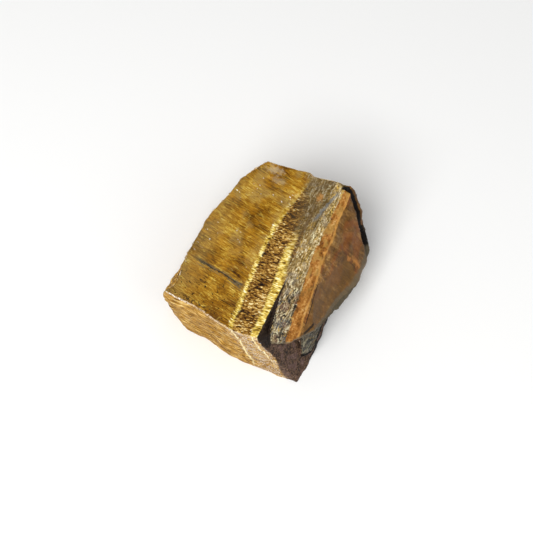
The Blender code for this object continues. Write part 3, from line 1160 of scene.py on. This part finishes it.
class StoneFinish:
    """Lays the coats of the stone over one another, each where its layer comes to the surface."""

    def __init__(self, seams: Seams) -> None:
        """Takes the seams that the layers follow."""
        self.seams = seams
        self.marks = Marks()
        self.net = Net("tigers_eye_finish")
        self.at = Place.read(self.net, seams)
        self.fray = self.net.noise(self.at.point, 1.1, 3.0, 0.65) - 0.5
        self.on_top = self.net.rise(self.net.layer("top_edge"), 0.0, 0.3)
        self.in_remnant = self.net.rise(self.net.layer("remnant_over"), 0.0, 0.5)

    def blot(self, stain: Stain) -> Socket:
        """Where a stain lies: 1 in its middle and 0 outside, with a frayed edge."""
        middle = tuple(c / s for c, s in zip(stain.centre, stain.sizes))
        away = self.net.vectors("DISTANCE", self.net.stretched(self.at.point, stain.sizes), middle, 1)
        return self.net.rise(away + 2.4 * self.fray, 1.2, 0.2)

    def drawn_line(self, hair: Hairline) -> Socket:
        """Where a hairline lies: 1 on it and 0 beside it."""
        first, last = np.array(hair.start), np.array(hair.end)
        length = float(np.linalg.norm(last - first))
        way = (last - first) / length
        side = np.cross(way, hair.face.normal())
        side = side / np.linalg.norm(side)
        off, run = (self.net.vectors("DOT_PRODUCT", self.at.point, tuple(axis), 1) - float(axis @ first)
                    for axis in (side, way))
        on_line = self.net.rise(abs(off + 0.6 * self.fray), hair.width, 0.4 * hair.width)
        return on_line * self.net.between(run, 0.0, length, 0.4)

    def seam_coat(self) -> Coat:
        """The coats of the top face, from the golden fibres to the second bright seam."""
        net, at = self.net, self.at
        ragged = net.drawn(at.fibres, (1.6, 0.34, 1.0), 2.0, 0.6) - 0.5
        waver = net.noise(at.point, 0.35, 1.0) - 0.5
        stray = 1.7 * ragged + 0.8 * waver
        coat = GoldenFibres().coat(net, at)
        coat = coat.under(FleckedSeam().coat(net, at), net.rise(at.bent + stray, 4.8, 5.2))
        fade = net.rise(at.along, 24.0, 14.0) * (0.35 + 0.65 * net.rise(at.along, 11.0, 2.0))
        first = net.between(at.bent + stray, 4.05, 5.05, 0.32) * fade
        start = 9.6 + 1.4 * net.rise(at.along, 0.0, -18.0)
        end = 11.4 + 1.9 * net.rise(at.along, 2.0, -14.0)
        place = at.across + 0.6 * stray
        second = (net.rise(place - start, -0.35, 0.35) * net.rise(place - end, 0.3, -0.3)
                  * net.rise(at.along, 8.0, -4.0))
        return coat.under(BrightSeam().coat(net, at), first.most(second))

    def block_coat(self) -> Coat:
        """The coats of the block: the top face, the broken ends, and the bared ironstone."""
        net, at, fray = self.net, self.at, self.fray
        edge = net.layer("top_edge")
        off_top = net.rise(edge + 0.9 * fray, 0.25, -0.05)
        coat = self.seam_coat().under(SplinteredEnd().coat(net, at, edge), off_top)
        crisp = net.rise(at.along, 0.0, -7.0)
        # dark band along the slab's left edge: bared ironstone at the front, and painted shadow of the gap
        # beside the slab, fainter towards the back
        dark_edge = net.rise(at.across + 0.5 * fray, 12.7, 13.0) * (0.35 + 0.65 * crisp)
        bared = net.rise(net.layer("iron_edge") + 0.5 * fray, -0.12, 0.12)
        return coat.under(Ironstone().coat(net, at), dark_edge.most(bared))

    def grey_coat(self) -> Coat:
        """The coats of the block under the grey layer, which spills over its edge towards the back."""
        net, at, fray = self.net, self.at, self.fray
        grey = GreyLayer().coat(net, at)
        shade = (self.in_remnant * 0.72).most(net.rise(at.along, -6.0, -18.0) * 0.20)
        shaded = grey.tinted(shade, self.marks.cold_shade)
        start = at.across + 2.0 * fray - 9.4 + 0.45 * (at.along - 12.0).most(0.0)
        dusty = net.rise(start, -0.5, 1.5) * net.rise(at.along, 1.0, 9.0) * self.on_top
        coat = self.block_coat().under(grey.tinted(0.56, self.marks.dull_back), dusty * 0.85)
        shoulder = net.rise(at.across + 2.0 * fray, 11.8, 12.5) * net.between(at.along, -7.0, 6.0, 2.5)
        coat = coat.under(shaded, shoulder * self.on_top * 0.85)
        in_slab = net.rise(net.layer("slab_over").most(net.layer("remnant_over")), -0.05, 0.25)
        start = 13.3 - 0.8 * net.rise(at.along, -9.0, -3.0)
        return coat.under(shaded, net.rise(at.across + 0.5 * fray - start, -0.1, 0.2) * in_slab)

    def slab_coat(self) -> Coat:
        """The coats of the whole stone, with the rusty strip, the skin and the painted shade on the faces
        that look down and back over the grey layer.
        """
        net, at, fray = self.net, self.at, self.fray
        start = (16.6 - 0.13 * at.along).most(15.7) + 0.8 * net.rise(at.along, 0.0, 8.0)
        rusty = net.rise(at.across + 1.4 * fray - start, -0.12, 0.12)
        coat = self.grey_coat().under(OrangeStrip().coat(net, at), rusty)
        skin = net.rise(net.layer("skin_edge") + 0.6 * fray, -0.15, 0.2)
        coat = coat.under(WaxySkin().coat(net, at, self.seams.down()), skin)
        # painted shade: nearly black on the faces that look down and back, behind the crack, and a little way
        # into the remnant
        behind = net.layer("past_crack") - 0.2 - 4.0 * net.rise(at.up + 3.0 * fray, 6.5, 11.5)
        past = (net.layer("crust_edge") + 1.1 * self.in_remnant).most(behind)
        return coat.under(DarkPaintedShade().coat(net, at), net.rise(past + 0.8 * fray, -0.1, 0.25))

    def top_marks(self, colour: Socket) -> Socket:
        """Frost, the weathered corner, dots along the front edge, and the strip beside the grey layer."""
        net, at, marks = self.net, self.at, self.marks
        for stain in marks.frost:
            colour = net.mix(self.blot(stain) * stain.share, colour, stain.colour)
        weathered = self.blot(marks.weathered)
        colour = net.mix(weathered * marks.weathered.share, colour, marks.weathered.colour)
        dashes = net.rise(net.drawn(at.fibres, (1.4, 0.35, 0.8), 1.0), 0.60, 0.68)
        colour = net.mix(dashes * weathered * 0.8, colour, marks.dash)
        dots = net.rise(net.noise(at.point, 1.5, 1.0), 0.50, 0.40) * net.rise(at.along, -15.0, -18.0)
        edge = net.between(net.layer("top_edge"), 0.1, 2.2, 0.5) * net.between(at.across, -10.0, -1.0, 2.0)
        colour = net.mix(dots * edge * 0.8, colour, marks.dot)
        strip = net.between(at.across + 1.4 * self.fray, 11.3, 12.1, 0.25)
        strip = strip * net.between(at.along, -5.0, 13.0, 3.0)
        return net.mix(strip * self.on_top * 0.6, colour, marks.brown_strip)

    def skin_marks(self, colour: Socket) -> Socket:
        """The bluish streak, the painted highlight along the ridge over the skin, the painted shade in the
        scoop, and rusty stains below it.
        """
        net, at, fray, marks = self.net, self.at, self.fray, self.marks
        lean = at.across - 0.25 * (at.along - 14.0) + 0.8 * fray
        streak = net.between(lean, 13.8, 14.6, 0.25) * net.between(at.along, 9.5, 18.5, 1.2)
        colour = net.mix(streak * 0.65, colour, marks.blue_streak)
        edge = net.layer("skin_edge")
        # painted highlight: a bright line along the ridge above the skin
        ridge_highlight = net.between(edge + 0.5 * fray, -0.22, 0.12, 0.12) * net.rise(at.across, 16.5, 17.5)
        colour = net.mix(ridge_highlight * net.rise(at.up, 2.0, 8.0) * 0.6, colour, marks.ridge_highlight)
        along, up = at.along + marks.scoop_corner[0], at.up - marks.scoop_corner[1]
        roof = -0.375 * along - 0.927 * up
        front = 0.29 * along - 0.957 * up
        side = 8.4 - at.along - 0.03 * (at.up - 3.0) * (at.up - 3.0)
        # painted shade: the hollow in the skin darkened where it falls into shade
        scoop_shade = net.rise(roof.least(front).least(side) + 1.6 * fray, -0.3, 0.5)
        colour = net.mix(scoop_shade * net.rise(edge, -0.2, 0.3) * 0.62, colour, marks.scoop_shade)
        upper, lower = marks.rusty
        return net.mix(self.blot(upper).most(self.blot(lower)) * upper.share, colour, upper.colour)

    def line_marks(self, colour: Socket) -> Socket:
        """The hairline across the skin, the short one on the golden face, and the slab's slot."""
        net, marks = self.net, self.marks
        on_skin = self.drawn_line(marks.skin_line) * net.rise(net.layer("skin_edge"), -0.4, 0.0)
        on_top = self.drawn_line(marks.top_line) * self.on_top
        slot = self.drawn_line(marks.slot) * net.rise(self.at.right, 8.0, 12.0)
        return net.mix(on_skin.most(on_top).most(slot) * 0.9, colour, marks.line)

    def crack_marks(self, colour: Socket) -> Socket:
        """The brown rim and the painted shadow in the crack before it, the painted shadow of the slit in the
        notch, and the slab's pale foot.
        """
        net, at, fray, marks = self.net, self.at, self.fray, self.marks
        rim = net.rise(net.layer("past_crack"), 0.4, 0.8) * net.rise(at.up, 4.0, 9.0)
        colour = net.mix(rim * 0.55, colour, marks.rim)
        # painted shadow: the crack's groove is coloured nearly black
        crack = net.rise(net.layer("crack_depth") + 0.3 * fray, 0.0, 0.3)
        colour = net.mix(crack, colour, marks.crack)
        slab = net.layer("slab_over")
        # painted shadow: a nearly black slit just outside the slab's lower edge, by the notch
        slab_shadow = net.between(slab + 1.2 * fray, -1.2, 0.1, 0.15) * net.rise(at.right, 12.6, 14.0)
        slab_shadow = slab_shadow * net.rise(at.along, -11.5, -13.5) * net.rise(net.layer("remnant_over"), -0.6, 0.2)
        colour = net.mix(slab_shadow * 0.95, colour, marks.slab_shadow)
        low = net.rise(net.layer("under_edge") + 1.2 * fray, -2.2, -1.0) * net.rise(slab, -0.05, 0.1)
        return net.mix(low * (0.35 + 0.8 * net.noise(at.point, 1.6, 2.0, 0.6)), colour, marks.foot)

    def ledge_marks(self, colour: Socket) -> Socket:
        """The greenish shade and the painted shadow along the ledge, a dark broken line, which end at the
        first bright seam.
        """
        net, at, marks = self.net, self.at, self.marks
        across = net.layer("ledge_across")
        reach = net.rise(net.layer("ledge_run"), 0.0, 0.25) * net.rise(at.bent, 4.3, 2.6)
        reach = reach * net.rise(net.layer("top_edge"), 0.0, 0.4)
        streaks = net.drawn(at.fibres, (3.0, 0.3, 1.0), 1.0)
        near = net.rise(abs(across - 0.2), 1.7, 0.2) * net.rise(streaks, 0.40, 0.60)
        colour = net.mix(near * reach * 0.7, colour, marks.ledge_shade)
        # painted shadow: a dark broken line along the ledge's step
        step = net.rise(abs(across + 0.1 + 1.2 * self.fray), 0.6, 0.12) * net.rise(streaks, 0.66, 0.46)
        return net.mix(step * reach * 0.95, colour, marks.ledge_shadow_line)

    def material(self) -> bpy.types.Material:
        """The finished material."""
        net, coat = self.net, self.slab_coat()
        colour = coat.colour
        for paint in (self.top_marks, self.skin_marks, self.line_marks, self.crack_marks, self.ledge_marks):
            colour = paint(colour)
        net.feed(net.shader.inputs["Base Color"], colour)
        net.feed(net.shader.inputs["Roughness"], coat.roughness)
        bump = net.node("ShaderNodeBump", {}, {"Strength": 1.0, "Distance": MM, "Height": coat.height})
        net.feed(net.shader.inputs["Normal"], bump)
        net.feed(net.shader.inputs["Specular IOR Level"], SPECULAR_LEVEL)
        return net.material


@dataclass
class RoughStone:
    """The stone: its form, the grid that carries it, and its finish."""

    form: StoneForm = field(default_factory=StoneForm)
    relief: FineRelief = field(default_factory=FineRelief)
    cage: Cage = field(default_factory=Cage)

    def ground_cut(self, ways: Array, reach: Array) -> Array:
        """Ends each way at the ground: heart height / -(upward part of the way)."""
        falling = -ways[:, 2]
        ground = HEART[2] / np.maximum(falling, LEAST_SHARE)
        return np.where(falling > LEAST_SHARE, np.minimum(reach, ground), reach)

    def mesh(self) -> bpy.types.Mesh:
        """The surface: each grid point is pushed along its way from the heart to where the stone ends."""
        ways = self.cage.points() - HEART
        ways = ways / np.linalg.norm(ways, axis=1)[:, None]
        found = self.form.survey(ways)
        reach = found.reach + self.relief.heights(spot(ways, found.reach), found)
        points = spot(ways, self.ground_cut(ways, reach)) * MM
        mesh = bpy.data.meshes.new("rough_stone")
        faces = self.cage.quads().tolist() + self.cage.fan().tolist()
        mesh.from_pydata(points, [], faces)
        mesh.polygons.foreach_set("use_smooth", np.ones(len(mesh.polygons), bool))
        for name, values in found.layers().items():
            layer = mesh.attributes.new(name, "FLOAT", "POINT")
            layer.data.foreach_set("value", values.astype(np.float32))
        mesh.update()
        return mesh

    def build(self) -> bpy.types.Object:
        """Makes the object, dresses it, and lets it stand for the plain solid."""
        mesh = self.mesh()
        mesh.materials.append(StoneFinish(self.form.seams).material())
        stone = bpy.data.objects.new("rough_stone", mesh)
        bpy.context.collection.objects.link(stone)
        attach(stone, "root")
        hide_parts(NODE)
        log.info("rough_stone: %d faces", len(mesh.polygons))
        return stone


@dataclass(frozen=True)
class Lamp:
    """A square soft lamp that looks at the stone from a bearing and slope."""

    name: str
    bearing: float
    slope: float
    away: float
    width: float
    power: float


@dataclass
class Studio:
    """The floor, the lights and the camera."""

    floor_width: float = 1600.0
    floor_colour: str = "#FBFBFA"
    floor_roughness: float = 0.9
    azimuth: float = 27.0
    elevation: float = 65.0
    lens: float = 81.0
    sensor_width: float = 36.0
    distance: float = 325.0
    target: Sizes = (-0.4, -1.65, 16.0)
    sky: float = 0.40
    lamps: tuple[Lamp, ...] = (Lamp("key", -92.0, 52.0, 700.0, 420.0, 4.3),
                               Lamp("fill", -10.0, 45.0, 800.0, 500.0, 0.6))

    def floor(self) -> bpy.types.Object:
        """A wide pale floor at the height that the stone rests on."""
        half = 0.5 * self.floor_width * MM
        mesh = bpy.data.meshes.new("floor")
        corners = [(x * half, y * half, 0.0) for x, y in ((-1, -1), (1, -1), (1, 1), (-1, 1))]
        mesh.from_pydata(corners, [], [(0, 1, 2, 3)])
        net = Net("floor_paint")
        net.feed(net.shader.inputs["Base Color"], self.floor_colour)
        net.feed(net.shader.inputs["Roughness"], self.floor_roughness)
        mesh.materials.append(net.material)
        floor = bpy.data.objects.new("floor", mesh)
        bpy.context.collection.objects.link(floor)
        log.info("floor: %.0f mm wide", self.floor_width)
        return floor

    def aimed(self, name: str, data: bpy.types.ID, bearing: float, slope: float,
              away: float) -> bpy.types.Object:
        """Sets a lamp or camera up so that it looks at the stone.

        Args:
            name: What it is called.
            data: The lamp or camera.
            bearing: Where it stands, seen from the stone.
            slope: How high above the horizontal it stands.
            away: How far from the stone it stands.

        Returns:
            The object that carries it.
        """
        item = bpy.data.objects.new(name, data)
        item.location = (np.array(self.target) + Face(bearing, slope).normal() * away) * MM
        item.rotation_euler = (np.radians(90.0 - slope), 0.0, np.radians(bearing + 90.0))
        bpy.context.collection.objects.link(item)
        return item

    def light(self, lamp: Lamp) -> None:
        """Sets one lamp up."""
        data = bpy.data.lights.new(lamp.name, "AREA")
        data.shape = "SQUARE"
        data.size = lamp.width * MM
        data.energy = lamp.power
        self.aimed(lamp.name, data, lamp.bearing, lamp.slope, lamp.away)
        log.info("%s: %.2f W", lamp.name, lamp.power)

    def lights(self) -> None:
        """A soft key from the front left, a weak fill from the right, and an even sky."""
        for lamp in self.lamps:
            self.light(lamp)
        world = bpy.data.worlds.new("sky")
        world.use_nodes = True
        background = world.node_tree.nodes["Background"]
        background.inputs["Color"].default_value = (1.0, 1.0, 1.0, 1.0)
        background.inputs["Strength"].default_value = self.sky
        bpy.context.scene.world = world

    def camera(self) -> None:
        """The camera at the photograph's viewing angle."""
        data = bpy.data.cameras.new("camera")
        data.lens = self.lens
        data.sensor_width = self.sensor_width
        camera = self.aimed("camera", data, self.azimuth - 90.0, self.elevation, self.distance)
        bpy.context.scene.camera = camera
        log.info("camera: azimuth %.0f, elevation %.0f", self.azimuth, self.elevation)

    def build(self) -> None:
        """Sets everything up, and shows colours as they are."""
        self.floor()
        self.lights()
        self.camera()
        bpy.context.scene.view_settings.view_transform = "Standard"


def main() -> None:
    """Builds the stone and the studio, and logs the floor's width, the lamps, the camera and the stone's
    faces.
    """
    logging.basicConfig(level=logging.INFO, format="%(name)s: %(message)s")
    Studio().build()
    RoughStone().build()


if __name__ == "__main__":
    main()
